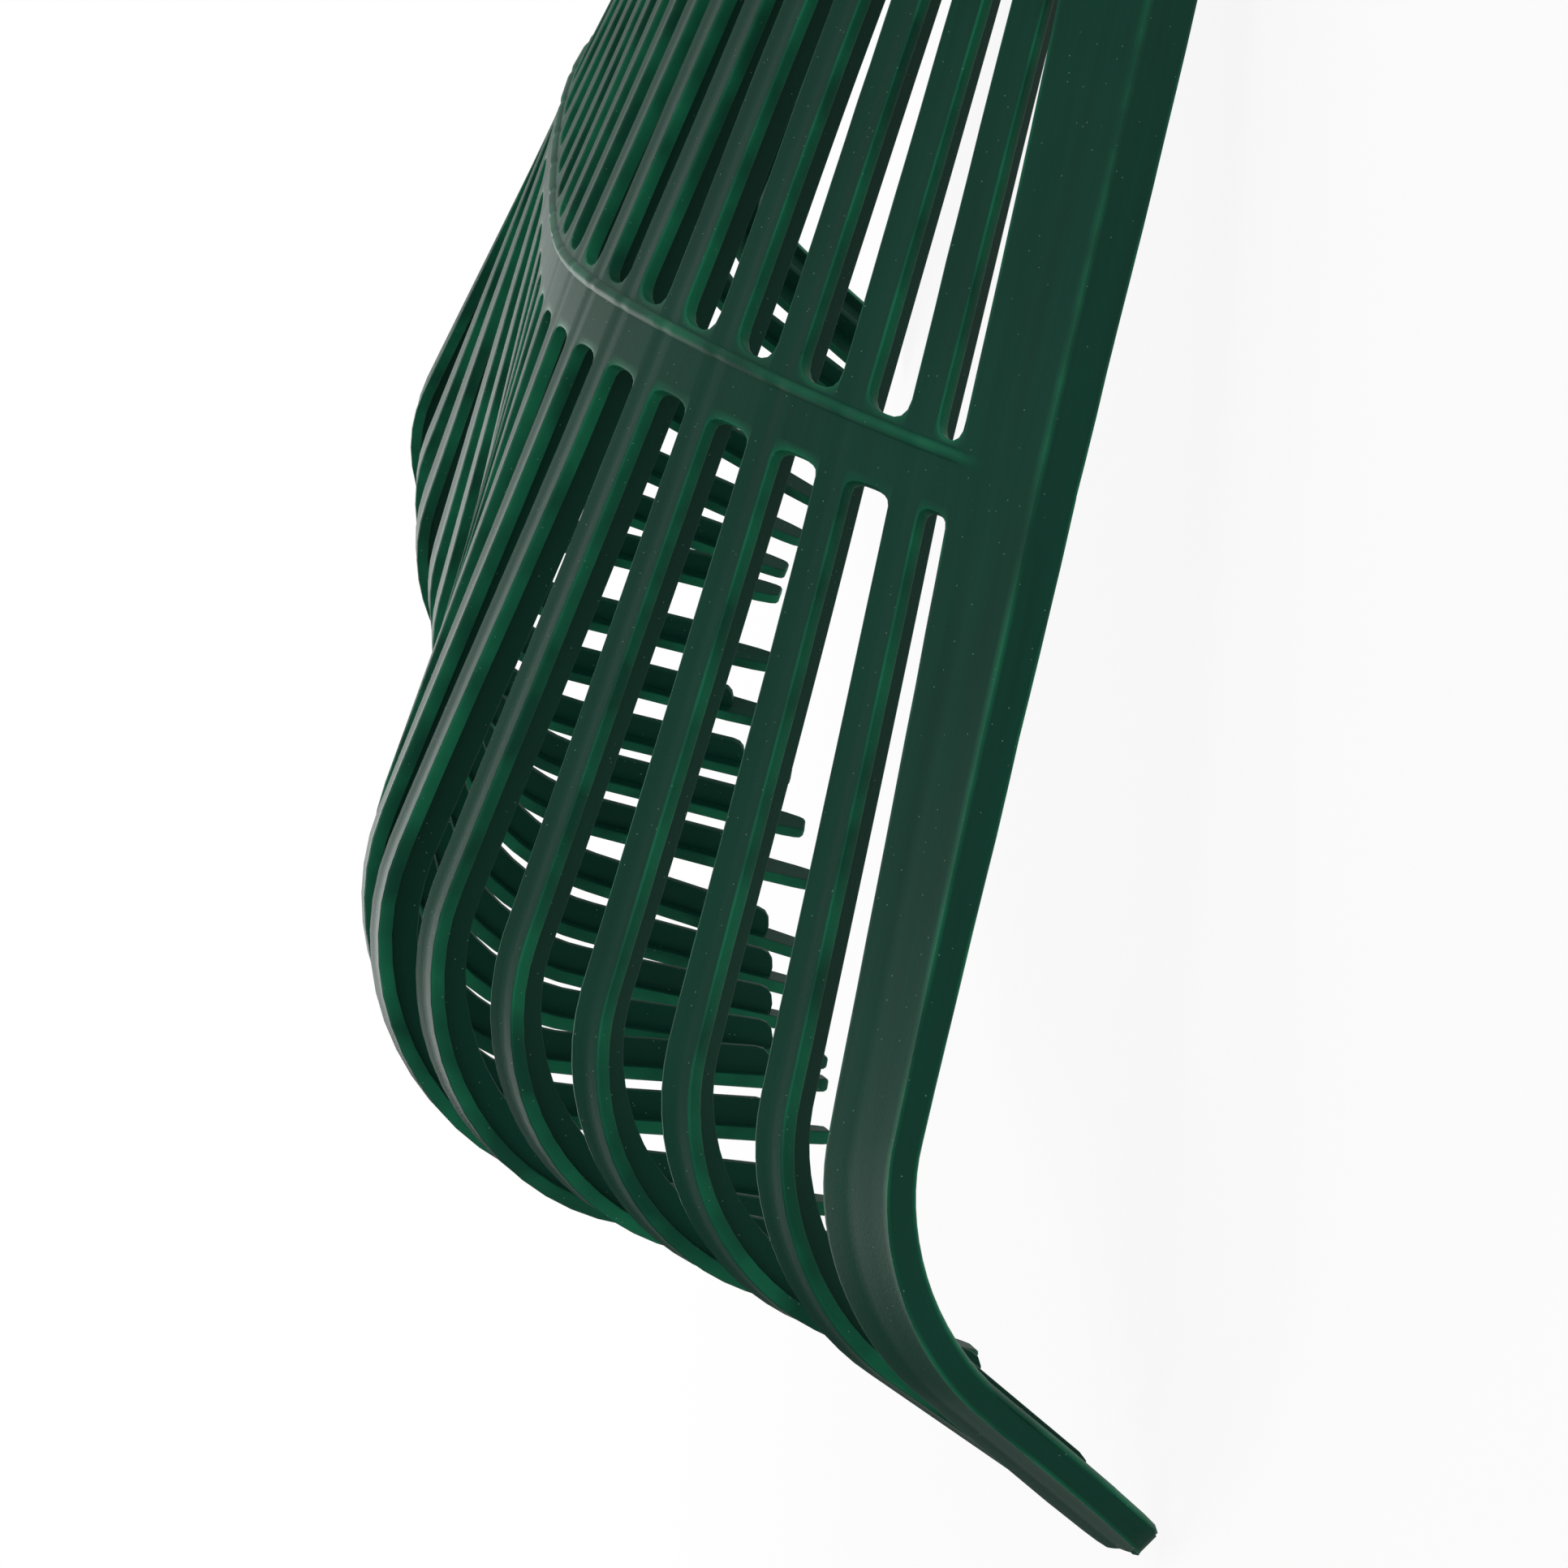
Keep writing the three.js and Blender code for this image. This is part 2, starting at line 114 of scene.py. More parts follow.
# What the moulding has beyond the CAD.
EDGE_ROUND = 0.42  # radius of every edge of the sheet
RIB_ROUND = 0.35
RIB_DRAFT = 0.86  # width of a rib's edge as a share of its root
SINK = 0.16  # depth of the sink mark over a rib
SINK_WIDTH = 1.1
BEAD_LIFT = 0.55
BEAD_HALF_WIDTH = 0.85
BEAD_FADE_START = 0.25  # on a rail, as a share of its half width from its middle
BEAD_FADE_LENGTH = 0.6
CREASE_LIFT = 0.22  # the thin raised line along a rail's fold
WARP_SWAY = 1.1  # sideways, at the bend
WARP_LIFT = 1.3  # in and out, at the bend
WARP_UPPER = 0.45  # halfway up the upper slots
WARP_CURL = 0.045  # of a tip, as a slope
WARP_RAIL_SHARE = 0.35  # a rail is stiffer than a tine
EDGE_RIPPLE = 0.16  # unevenness of a tine's edges
RIPPLE_LENGTH = 13
RIPPLE_TINE_STEP = 5.3  # sets each tine's ripple apart from the next tine's
RIPPLE_SIDE_STEP = 2.9
RETURN_RIPPLE = 0.8  # unevenness of a folded edge, as a share of a tine's
SLOT_SQUARENESS = 3  # at 2 a slot's end is a half ellipse, and above it is squarer
SEED = 7

# The bead's section: (place over its half width, share of its lift).
BEAD_SECTION = [(-1, 0), (-0.6, 0.7), (0, 1), (0.6, 0.7), (1, 0)]
# A rib's end: (share of the run-out still ahead, share of its depth).
RIB_END = [(1, 1), (0.55, 0.93), (0.22, 0.72), (0.05, 0.4)]
# The first row past a rib: its distance from the rib's end, and its share of the width.
BARE_START = 0.6
BARE_WIDTH = 0.98
# A tip's end: (distance from its very end, share of its width).
TIP_END = [(3.2, 0.9), (1.2, 0.8), (0.35, 0.66), (0, 0.48)]

# How much painted glow a place gets, from 0 to 1: a paler green painted where light would shine
# through thin plastic, and a painted highlight along the bead and the fold.
PAINTED_GLOW_CORNER = 1.0
PAINTED_GLOW_BESIDE_CORNER = 0.55
PAINTED_GLOW_BEAD = 0.8
PAINTED_GLOW_FOLD = 0.9
GRAIN_STEP = 10.0  # sets each tine's flow lines apart from the next tine's

# Columns across a tine, as shares of its half width; the ribs' own columns come between.
OUTER_SHARES = [1, 0.86, 0.52]
SLOT_STEPS = [0.04, 0.14, 0.3, 0.5, 0.7, 0.86, 0.96]
RETURN_SHARES = [0.12, 0.5, 0.9, 1]
PLATE_ROWS = 5
UPPER_ROWS = 12
BAND_ROWS = 2
LOWER_ROWS = 11
BEND_ROWS = 14
TIP_ROWS = 4
ROW_TURN = 30  # length of tine over which rows turn square to it

# What the grip bar has beyond the CAD. Its shoulder and fillet, and the shoulder of a screw's
# head below, are lists of (distance along the line, distance out from the radius).
FOOT_ROUND = 0.8
FOOT_SHOULDER = [(-0.8, 0), (-0.2, -0.25), (0, -0.8)]
ROD_FILLET = [(0.25, 0.5), (0.9, 0.1), (2, 0)]
HOLE_CHAMFER = 0.3
HOLE_SPARE = 0.5  # how much deeper a foot's hole is than its screw
BOSS_ROUND = 1

# What the sleeve has beyond the CAD.
SLEEVE_ROUND = 2.5
SLEEVE_MOUTH = 0.8  # chamfer at each end of its bore
GROOVES = 14
GROOVE_DEPTH = 0.55
GROOVE_MARGIN = 7  # from the sleeve's end to the first groove
# A groove's section: (distance along the sleeve, share of the depth).
GROOVE_SECTION = [(-0.9, 0), (-0.5, 0.6), (0, 1), (0.5, 0.6), (0.9, 0)]

# What a screw has beyond the CAD: a low dome with a cross recess.
HEAD_RINGS = [0.25, 0.5, 0.75, 1, 1.3, 1.6, 1.9, 2.2, 2.6, 3, 3.4]  # radii
HEAD_CROWN = 0.02  # fall of the dome, over the radius squared
HEAD_SHOULDER = [(0.5, -0.6), (1, -0.2), (1.7, 0)]
HEAD_EDGE = 0.2
STEM_FILLET = 0.1
SCREW_POINT = 1.2
SCREW_POINT_RADIUS = 1.4
RECESS_HALF_WIDTH = 0.62
RECESS_REACH = 2.3
RECESS_DEPTH = 1.5

# How fine the turned pieces are.
ROUND_STEPS = 4  # straight stretches in a quarter round
SLEEVE_ROUND_STEPS = 6
BAR_STEPS = 70
TURNED_SEGMENTS = 48
BAR_SEGMENTS = 40
HOLE_SEGMENTS = 32
SLEEVE_SEGMENTS = 56
SCREW_SEGMENTS = 64
SHARP_ANGLE = 40  # an edge that turns more than this stays sharp

# The studio, in metres. To the camera the floor glows white, but for a share of real paper
# near the object, which shows its shadow.
FLOOR_REACH = 6.0
FLOOR_DROP = 0.0005  # keeps the floor from sharing a plane with the tips
FLOOR_GLOW = 1.0
FLOOR_SHARE = 0.9  # of glow near the object
FLOOR_NEAR = 0.3
FLOOR_FAR = 0.8  # from here on all is glow
SKY_STRENGTH = 0.5
DIM_SIDE = (0, -0.92, 0.39)  # the side of the room that is hardly lit
DIM_SHARE = 0.12  # of the sky's strength there
DIM_FROM = 0.1  # cosine to the dim side where the dimming starts
DIM_FULL = 0.75  # and where it is full

# The camera, in the hand's own frame: close to one rail and looking along the band.
CAMERA_PLACE = (604.0, -58.8, 112.5)
CAMERA_AIM = (89.4, -201.4, -56.2)
CAMERA_UP = (-0.3921, 0.6727, 0.6275)
CAMERA_LENS = 102.6
CAMERA_SENSOR = 36
CAMERA_CLIP = 0.01


def rad(degrees):
    return math.radians(degrees)


def spread(shape, u):
    """A shape's value at u, which runs from -1 at one rail to 1 at the other."""
    middle, side, between = shape
    return middle + (side - middle) * u * u + between * (1 - math.cos(2 * math.pi * u)) / 2


def spread_slope(shape, u):
    """How fast a shape's value changes with u."""
    middle, side, between = shape
    return 2 * (side - middle) * u + between * math.pi * math.sin(2 * math.pi * u)


def fan_angle(u):
    """The turn of the tine at u from the middle of the fan."""
    return rad(FAN_HALF_ANGLE) * u * (1 + FAN_CROWDING * (1 - u * u))


def fan_angle_slope(u):
    return rad(FAN_HALF_ANGLE) * (1 + FAN_CROWDING * (1 - 3 * u * u))


def smooth(share):
    """A share from 0 to 1, eased at both ends."""
    share = min(max(share, 0.0), 1.0)
    return share * share * (3 - 2 * share)


class Tine:
    """One tine, or any line between tines, at u from -1 at one rail to 1 at the other."""

    def __init__(self, u, warp=None):
        self.u = u
        angle = fan_angle(u)
        self.radial = Vector((math.sin(angle), -math.cos(angle), 0))
        self.across = Vector((math.cos(angle), math.sin(angle), 0))
        fall = math.atan(spread(LOWER_FALL, u))
        tip = rad(spread(TIP_ANGLE, u))
        swing = rad(TIP_SWING) * u
        self.start = self.radial * math.cos(fall) - UP * math.sin(fall)
        end = self.radial * math.cos(tip) - UP * (math.sin(tip) * math.cos(swing))
        end += self.across * (math.sin(tip) * math.sin(swing))
        self.bend = self.start.angle(end)
        self.inward = (end - self.start * math.cos(self.bend)).normalized()
        self.radius = spread(BEND_RADIUS, u)
        self.straight = spread(LOWER_LENGTH, u)
        self.arc = self.radius * self.bend
        self.length = self.straight + self.arc + spread(TIP_LENGTH, u)
        self.warp = warp

    def frame_at(self, distance):
        """A point of the outer face, how far a row leans along the tine for each millimetre
        across, and the directions across and out of the tine."""
        u = self.u
        reach = spread(BEAD_RADIUS, u)
        origin = self.radial * reach + UP * spread(BEAD_HEIGHT, u)
        along = self.start.copy()
        cross_slope = spread_slope(BEAD_HEIGHT, u)
        if distance < 0:
            rise = spread(UPPER_RISE, u)
            along = (self.radial - UP * rise).normalized()
            origin += (self.radial - UP * rise) * distance
            reach += distance
            cross_slope -= distance * spread_slope(UPPER_RISE, u)
        else:
            run = min(distance, self.straight)
            turn = min(max(distance - self.straight, 0) / self.radius, self.bend)
            rest = max(distance - self.straight - self.arc, 0)
            origin += self.start * (run + self.radius * math.sin(turn))
            origin += self.inward * (self.radius * (1 - math.cos(turn)))
            along = self.start * math.cos(turn) + self.inward * math.sin(turn)
            origin += along * rest
            reach += run
            cross_slope -= run * spread_slope(LOWER_FALL, u)
        lean = UP * cross_slope + self.radial * spread_slope(BEAD_RADIUS, u)
        row = self.across + lean / (reach * fan_angle_slope(u))
        side = (row - along * row.dot(along)).normalized()
        out = -side.cross(along)
        if self.warp:
            self.bend_out_of_true(origin, side, out, distance)
        skew = row.dot(along) / row.dot(side)
        return origin, along * skew, side, out

    def point_at(self, distance, across):
        """A point of the outer face off the tine's middle line. Where the band or the plate
        joins the tines, a row follows the joint's curve and not the square across the tine."""
        origin, skewed, side, out = self.frame_at(distance)
        hold = 1 - smooth((distance - BAND_FOOT) / ROW_TURN)
        return origin + side * across + skewed * (hold * across), side, out

    def bend_out_of_true(self, origin, side, out, distance):
        """What cooling does to a tine: it bows a little where nothing holds it."""
        sway, lift, bow, curl = self.warp
        if distance < 0:
            start = spread(PLATE_START, self.u)
            share = min(max((distance - start) / (BAND_TOP - start), 0), 1)
            origin += side * (bow * math.sin(math.pi * share) ** 2)
            return
        free = smooth((distance - BAND_FOOT - LOWER_ROUND) / self.straight)
        past = max(distance - self.straight - self.arc / 2, 0)
        origin += side * (sway * free) + out * (lift * free - curl * past)


def make_tines():
    """All tines, each with its own seeded warp."""
    draw = random.Random(SEED)
    middle = (TINES - 1) / 2
    tines = []
    for i in range(TINES):
        share = WARP_RAIL_SHARE if i in (0, TINES - 1) else 1
        sizes = (WARP_SWAY, WARP_LIFT, WARP_UPPER, WARP_CURL)
        warp = [draw.uniform(-1, 1) * size * share for size in sizes]
        tines.append(Tine((i - middle) / middle, warp))
    return tines


def rows_of(tine):
    """Rows from the handle end to the tip. A row that opens has a slot after it."""
    rows = []

    def add(distance, opens=True, bulge=0.0, rib=1.0, width=1.0, lift=0.0):
        row = dict(distance=distance, opens=opens, bulge=bulge, rib=rib, width=width, lift=lift)
        rows.append(row)

    def between(start, end, count, **how):
        for k in range(1, count + 1):
            add(start + (end - start) * k / (count + 1), **how)

    plate_end = spread(PLATE_END, tine.u)
    plate_start = spread(PLATE_START, tine.u) + UPPER_ROUND
    add(plate_end, opens=False)
    between(plate_end, plate_start, PLATE_ROWS, opens=False)
    add(plate_start, bulge=-UPPER_ROUND)
    between(plate_start, BAND_TOP - UPPER_ROUND, UPPER_ROWS)
    add(BAND_TOP - UPPER_ROUND, opens=False, bulge=UPPER_ROUND)
    for place, lift in BEAD_SECTION:
        add(place * BEAD_HALF_WIDTH, opens=False, lift=lift)
    between(BEAD_HALF_WIDTH, BAND_FOOT + LOWER_ROUND, BAND_ROWS, opens=False)
    add(BAND_FOOT + LOWER_ROUND, bulge=-LOWER_ROUND)
    between(BAND_FOOT + LOWER_ROUND, tine.straight, LOWER_ROWS)
    add(tine.straight)
    between(tine.straight, tine.straight + tine.arc, BEND_ROWS)
    add(tine.straight + tine.arc)
    rib_end = tine.length - RIB_SETBACK
    between(tine.straight + tine.arc, rib_end - RIB_RUNOUT, TIP_ROWS)
    for share, rib in RIB_END:
        add(rib_end - share * RIB_RUNOUT, rib=rib)
    add(rib_end + BARE_START, rib=0, width=BARE_WIDTH)
    for from_end, width in TIP_END:
        add(tine.length - from_end, rib=0, width=width)
    return rows


class Sheet:
    """A sheet of even thickness in the making. A spot is a pair of points, on the outer face
    and on the inner one. A wall joins two spots at an edge of the sheet, and gets round
    corners."""

    def __init__(self):
        # Each point keeps its share of painted glow: the paler green painted where light would
        # shine through thin plastic.
        self.points, self.rims, self.grain = [], [], []
        self.faces, self.walls = [], []

    def keep(self, point, grain, rim=0.0):
        self.points.append(point.copy())
        self.grain.append(grain)
        self.rims.append(rim)
        return len(self.points) - 1

    def spot(self, outer, out, grain, thickness=SHELL, rim=0.0):
        inner = outer - out.normalized() * thickness
        return self.keep(outer, grain, rim), self.keep(inner, grain, rim)

    def quad(self, a, b, c, d):
        self.faces.append((a, b, c, d))

    def join(self, left, right, is_open=lambda row: False):
        """Both faces between two columns of spots, and the wall at each end of a stretch."""
        last = len(left) - 2
        for row in range(last + 1):
            if is_open(row):
                continue
            a, b, d, e = left[row], right[row], left[row + 1], right[row + 1]
            self.quad(a[0], d[0], e[0], b[0])
            self.quad(a[1], b[1], e[1], d[1])
            if row == 0 or is_open(row - 1):
                self.walls.append((a, b))
            if row == last or is_open(row + 1):
                self.walls.append((e, d))

    def edge(self, column, facing, is_there=lambda row: True):
        """The wall down the side of a column, facing 1 toward +X or -1 toward -X."""
        for row in range(len(column) - 1):
            if is_there(row):
                pair = (column[row], column[row + 1])
                self.walls.append(pair if facing > 0 else pair[::-1])

    def close_walls(self):
        """Rounds the corners of every wall: the faces stop short of it, and arcs lead round."""
        facing = {}
        for p, q in self.walls:
            run = self.points[q[0]] - self.points[p[0]]
            normal = run.cross(self.points[p[1]] - self.points[p[0]]).normalized()
            for spot in (p, q):
                facing[spot] = facing.get(spot, Vector()) + normal
        profiles = {}
        for spot, push in facing.items():
            outer, inner = self.points[spot[0]].copy(), self.points[spot[1]].copy()
            push = push.normalized() * EDGE_ROUND
            down = (inner - outer).normalized() * EDGE_ROUND
            self.points[spot[0]], self.points[spot[1]] = outer - push, inner - push
            slant = 1 - math.sqrt(0.5)
            corners = [
                outer - (push - down) * slant,
                outer + down,
                inner - down,
                inner - (push + down) * slant,
            ]
            grain = self.grain[spot[0]]
            # The round corners of an edge get the full painted glow, and the outer face beside
            # them part of it.
            arc = [self.keep(corner, grain, PAINTED_GLOW_CORNER) for corner in corners]
            profiles[spot] = [spot[0], *arc, spot[1]]
            self.rims[spot[0]] = max(self.rims[spot[0]], PAINTED_GLOW_BESIDE_CORNER)
        for p, q in self.walls:
            one, two = profiles[p], profiles[q]
            for k in range(len(one) - 1):
                self.quad(one[k], two[k], two[k + 1], one[k + 1])

    def mesh(self, name):
        mesh = bpy.data.meshes.new(name)
        mesh.from_pydata([point * MM for point in self.points], [], self.faces)
        # The painted glow goes to the material as a point attribute.
        rim = mesh.attributes.new("rim", "FLOAT", "POINT")
        rim.data.foreach_set("value", self.rims)
        grain = mesh.attributes.new("grain", "FLOAT_VECTOR", "POINT")
        grain.data.foreach_set("vector", [value for spot in self.grain for value in spot])
        work = bmesh.new()
        work.from_mesh(mesh)
        loose = [v for v in work.verts if not v.link_faces]
        bmesh.ops.delete(work, geom=loose, context="VERTS")
        work.to_mesh(mesh)
        work.free()
        return mesh


def half_width(i, side):
    """From a tine's line to its edge on one side: -1 toward -X, 1 toward +X."""
    if i not in (0, TINES - 1):
        return TINE_WIDTH / 2
    return RAIL_OUTER if (i == 0) == (side < 0) else RAIL_INNER


def shares_of(i):
    """The columns of tine i, as shares of its half width."""
    ribs = [side * RIB_WIDTH / 2 / half_width(i, side) for side in (-1, 1)]
    return [-s for s in OUTER_SHARES] + [ribs[0], 0, ribs[1]] + OUTER_SHARES[::-1]


def bead_share(i, share):
    """The bead fades out on the inner part of a rail."""
    if i not in (0, TINES - 1):
        return 1.0
    inward = share if i == 0 else -share
    return smooth((inward - BEAD_FADE_START) / BEAD_FADE_LENGTH)


def ripple(i, side, distance):
    """How far an edge of tine i strays from its line."""
    place = Vector((distance / RIPPLE_LENGTH, i * RIPPLE_TINE_STEP, side * RIPPLE_SIDE_STEP))
    return EDGE_RIPPLE * noise.noise(place)


def tine_column(sheet, tines, rows, i, share):
    """A column of spots down tine i, at a share of its half width."""
    column = []
    outermost = abs(share) == 1
    for row in rows[i]:
        across = share * half_width(i, share) * row["width"]
        if outermost:
            across += math.copysign(ripple(i, share, row["distance"]), share)
        point, side, out = tines[i].point_at(row["distance"], across)
        rise = BEAD_LIFT * row["lift"] * bead_share(i, share)
        rise -= SINK * math.exp(-((across / SINK_WIDTH) ** 2))
        rail_fold = (i == 0 and share == -1) or (i == TINES - 1 and share == 1)
        thickness = SHELL
        grain = (across, row["distance"], i * GRAIN_STEP)
        if rail_fold:
            turn = rad(RETURN_ANGLE) / 2
            out = out * math.cos(turn) + side * (share * math.sin(turn))
            thickness = SHELL / math.cos(turn)
            rise += CREASE_LIFT
        point += out * rise
        # Painted glow and highlight: a paler green painted on the bead and along the rail's
        # fold, where a highlight runs.
        rim = max(PAINTED_GLOW_BEAD * row["lift"] * bead_share(i, share), PAINTED_GLOW_FOLD * rail_fold)
        column.append(sheet.spot(point, out, grain, thickness + rise, rim))
    return column


def return_column(sheet, tines, rows, i, outward, share):
    """A column down the rail's folded edge, at a share of its width. The edge narrows evenly
    from the plate to the bend, then stays thin."""
    column = []
    tine = tines[i]
    turn = rad(RETURN_ANGLE)
    start = spread(PLATE_END, tine.u)
    for row in rows[i]:
        distance = row["distance"]
        edge = outward * half_width(i, outward) * row["width"]
        point, side, out = tine.point_at(distance, edge)
        run = min(1, (distance - start) / (tine.straight - start))
        width = (RETURN_WIDTH + (RETURN_END_WIDTH - RETURN_WIDTH) * run) * share
        width += RETURN_RIPPLE * share * ripple(i, 2 * outward, distance)
        point += side * (outward * width * math.cos(turn)) - out * (width * math.sin(turn))
        away = side * (outward * math.sin(turn)) + out * math.cos(turn)
        grain = (outward * (half_width(i, outward) + width), distance, i * GRAIN_STEP)
        column.append(sheet.spot(point, away, grain))
    return column


def slot_column(sheet, tines, rows, i, step):
    """A column between tines i and i + 1, used where the band or the plate closes the slot."""
    column = []
    round_share = math.sqrt(1 - abs(2 * step - 1) ** SLOT_SQUARENESS)
    for near, far in zip(rows[i], rows[i + 1]):
        ends = []
        for tine, row, share in ((i, near, 1), (i + 1, far, -1)):
            distance = row["distance"] + row["bulge"] * round_share
            point, _, out = tines[tine].point_at(distance, share * half_width(tine, share))
            rise = BEAD_LIFT * row["lift"] * bead_share(tine, share)
            ends.append((point, out, rise, distance))
        point = ends[0][0].lerp(ends[1][0], step)
        out = ends[0][1].lerp(ends[1][1], step).normalized()
        rise = ends[0][2] + (ends[1][2] - ends[0][2]) * step
        gap = (ends[1][0] - ends[0][0]).length
        grain = (half_width(i, 1) + gap * step, ends[0][3], i * GRAIN_STEP)
        # Painted glow: the bead between tines is painted a paler green, as a highlight.
        rim = PAINTED_GLOW_BEAD * near["lift"]
        column.append(sheet.spot(point + out * rise, out, grain, SHELL + rise, rim))
    return column


def rib_path(sheet, tine, row, grain_z):
    """Points round a rib's edge in one row, from its left root to its right one."""
    deep = SHELL + (RIB_DEPTH - SHELL) * row["rib"]
    half = RIB_WIDTH / 2 * RIB_DRAFT
    slant = RIB_ROUND * (1 - math.sqrt(0.5))
    left = [(-half, deep - RIB_ROUND), (slant - half, deep - slant), (RIB_ROUND - half, deep)]
    path = left + [(-x, z) for x, z in reversed(left)]
    spots = []
    for x, z in path:
        point, _, out = tine.point_at(row["distance"], x)
        spots.append(sheet.keep(point - out * z, (x, row["distance"], grain_z)))
    return spots


def add_tine(sheet, tines, rows, i):
    """A tine's stretch of sheet with its rib. Returns its first and last column."""
    shares = shares_of(i)
    columns = [tine_column(sheet, tines, rows, i, share) for share in shares]
    left_rib = len(OUTER_SHARES)
    right_rib = left_rib + 2
    ribs = []
    for row in rows[i]:
        ribs.append(rib_path(sheet, tines[i], row, i * GRAIN_STEP) if row["rib"] else [])
    count = len(rows[i])
    for row in range(count - 1):
        ribbed = bool(ribs[row] and ribs[row + 1])
        for k in range(len(shares) - 1):
            a, b = columns[k][row], columns[k + 1][row]
            d, e = columns[k][row + 1], columns[k + 1][row + 1]
            sheet.quad(a[0], d[0], e[0], b[0])
            if not (ribbed and left_rib <= k < right_rib):
                sheet.quad(a[1], b[1], e[1], d[1])
            if row == 0:
                sheet.walls.append((a, b))
            if row == count - 2:
                sheet.walls.append((e, d))
        rib_columns = columns[left_rib : right_rib + 1]
        roots = [column[row][1] for column in rib_columns]
        next_roots = [column[row + 1][1] for column in rib_columns]
        if ribbed:
            here = [roots[0], *ribs[row], roots[-1]]
            after = [next_roots[0], *ribs[row + 1], next_roots[-1]]
            for k in range(len(here) - 1):
                sheet.quad(here[k], here[k + 1], after[k + 1], after[k])
            if row == 0:
                sheet.faces.append((*roots, *reversed(ribs[0])))
        elif ribs[row]:
            sheet.faces.append((*reversed(roots), *ribs[row]))
    return columns[0], columns[-1]


def fan_mesh(name):
    """The whole moulding but its bosses."""
    sheet = Sheet()
    tines = make_tines()
    rows = [rows_of(tine) for tine in tines]

    def is_open(row):
        return rows[0][row]["opens"]

    edges = [add_tine(sheet, tines, rows, i) for i in range(TINES)]
    for i in range(TINES - 1):
        between = [slot_column(sheet, tines, rows, i, step) for step in SLOT_STEPS]
        columns = [edges[i][1], *between, edges[i + 1][0]]
        for left, right in zip(columns, columns[1:]):
            sheet.join(left, right, is_open)
        sheet.edge(edges[i][1], 1, is_open)
        sheet.edge(edges[i + 1][0], -1, is_open)
    for i, outward, crease in ((0, -1, edges[0][0]), (TINES - 1, 1, edges[-1][1])):
        columns = [crease]
        for share in RETURN_SHARES:
            columns.append(return_column(sheet, tines, rows, i, outward, share))
        for near, far in zip(columns, columns[1:]):
            pair = (near, far) if outward > 0 else (far, near)
            sheet.join(*pair)
        sheet.edge(columns[-1], outward)
    sheet.close_walls()
    return sheet.mesh(name)


def turned(name, profile, segments=TURNED_SEGMENTS, path=None):
    """A surface swept or turned round a line. The profile is a list of (place along the line,
    radius), and path gives a point and a direction for each place. The ends are closed."""
    path = path or (lambda place: (UP * place, UP, ACROSS))
    points, faces = [], []
    for place, radius in profile:
        centre, along, start = path(place)
        other = along.cross(start)
        for k in range(segments):
            turn = 2 * math.pi * k / segments
            point = centre + start * (radius * math.cos(turn))
            points.append(point + other * (radius * math.sin(turn)))
    for ring in range(len(profile) - 1):
        for k in range(segments):
            a, b = ring * segments + k, ring * segments + (k + 1) % segments
            faces.append((a, b, b + segments, a + segments))
    faces.append(tuple(range(segments))[::-1])
    faces.append(tuple(range(len(points) - segments, len(points))))
    mesh = bpy.data.meshes.new(name)
    mesh.from_pydata([point * MM for point in points], [], faces)
    return mesh


def rounded(place, radius, size, steps=ROUND_STEPS):
    """A convex quarter round from (place, radius - size) to (place + size, radius)."""
    points = []
    for k in range(steps + 1):
        turn = math.pi / 2 * k / steps
        inset = size * (1 - math.sin(turn))
        points.append((place + size * (1 - math.cos(turn)), radius - inset))
    return points


def mirrored(profile, middle):
    """A profile and its mirror image on the far side of the middle."""
    return profile + [(2 * middle - place, radius) for place, radius in reversed(profile)]


# The grip's own frame, as in the CAD: Z square to the slope of the plate's middle.
pad_distance = (spread(PLATE_START, PAD_U) + spread(PLATE_END, PAD_U)) / 2
pad_origin, _, _, pad_out = Tine(PAD_U).frame_at(pad_distance)
pad_x = pad_origin.x
grip_tilt = math.atan(UPPER_RISE[0])
grip_up = Vector((0, -math.sin(grip_tilt), math.cos(grip_tilt)))
face_fall = math.tan(pad_out.angle(grip_up)) * PAD_DIAMETER / 2
pad_top = PAD_RISE + face_fall
boss_foot = -BOSS_DROP - face_fall
foot_seat = pad_top + CLEARANCE
screw_tip = foot_seat + SCREW_GRIP
bar_level = pad_top + GRIP_HEIGHT
bar_rise = bar_level - GRIP_BEND - foot_seat
bar_quarter = math.pi / 2 * GRIP_BEND
bar_length = 2 * (bar_rise + bar_quarter) + 2 * (pad_x - GRIP_BEND)
grip_place = Matrix.Translation(Vector((0, pad_origin.y, pad_origin.z)) * MM)
grip_place @= Matrix.Rotation(grip_tilt, 4, "X")


def boss_mesh(name, side):
    """A boss: a tube through the plate, with the screw's hole down its middle."""
    hole = SCREW_DIAMETER / 2 + CLEARANCE
    foot = rounded(boss_foot, PAD_DIAMETER / 2, BOSS_ROUND)
    solid = turned(name, mirrored(foot, (boss_foot + pad_top) / 2))
    drill = turned(name + "_hole", [(2 * boss_foot, hole), (pad_top + 1, hole)], HOLE_SEGMENTS)
    for mesh in (solid, drill):
        mesh.transform(grip_place @ Matrix.Translation((side * pad_x * MM, 0, 0)))
    return solid, drill


def grip_line(place):
    """The bar's centre line: up from one foot, across and down to the other."""
    flip = place > bar_length / 2
    run = bar_length - place if flip else place
    if run < bar_rise:
        centre, along = Vector((-pad_x, 0, foot_seat + run)), UP.copy()
    elif run < bar_rise + bar_quarter:
        turn = (run - bar_rise) / GRIP_BEND
        centre = Vector((-pad_x + GRIP_BEND * (1 - math.cos(turn)), 0, 0))
        centre.z = bar_level - GRIP_BEND * (1 - math.sin(turn))
        along = Vector((math.sin(turn), 0, math.cos(turn)))
    else:
        centre = Vector((-pad_x + GRIP_BEND + run - bar_rise - bar_quarter, 0, bar_level))
        along = ACROSS.copy()
    if flip:
        centre.x, along.z = -centre.x, -along.z
    return centre, along, Vector((0, 1, 0))


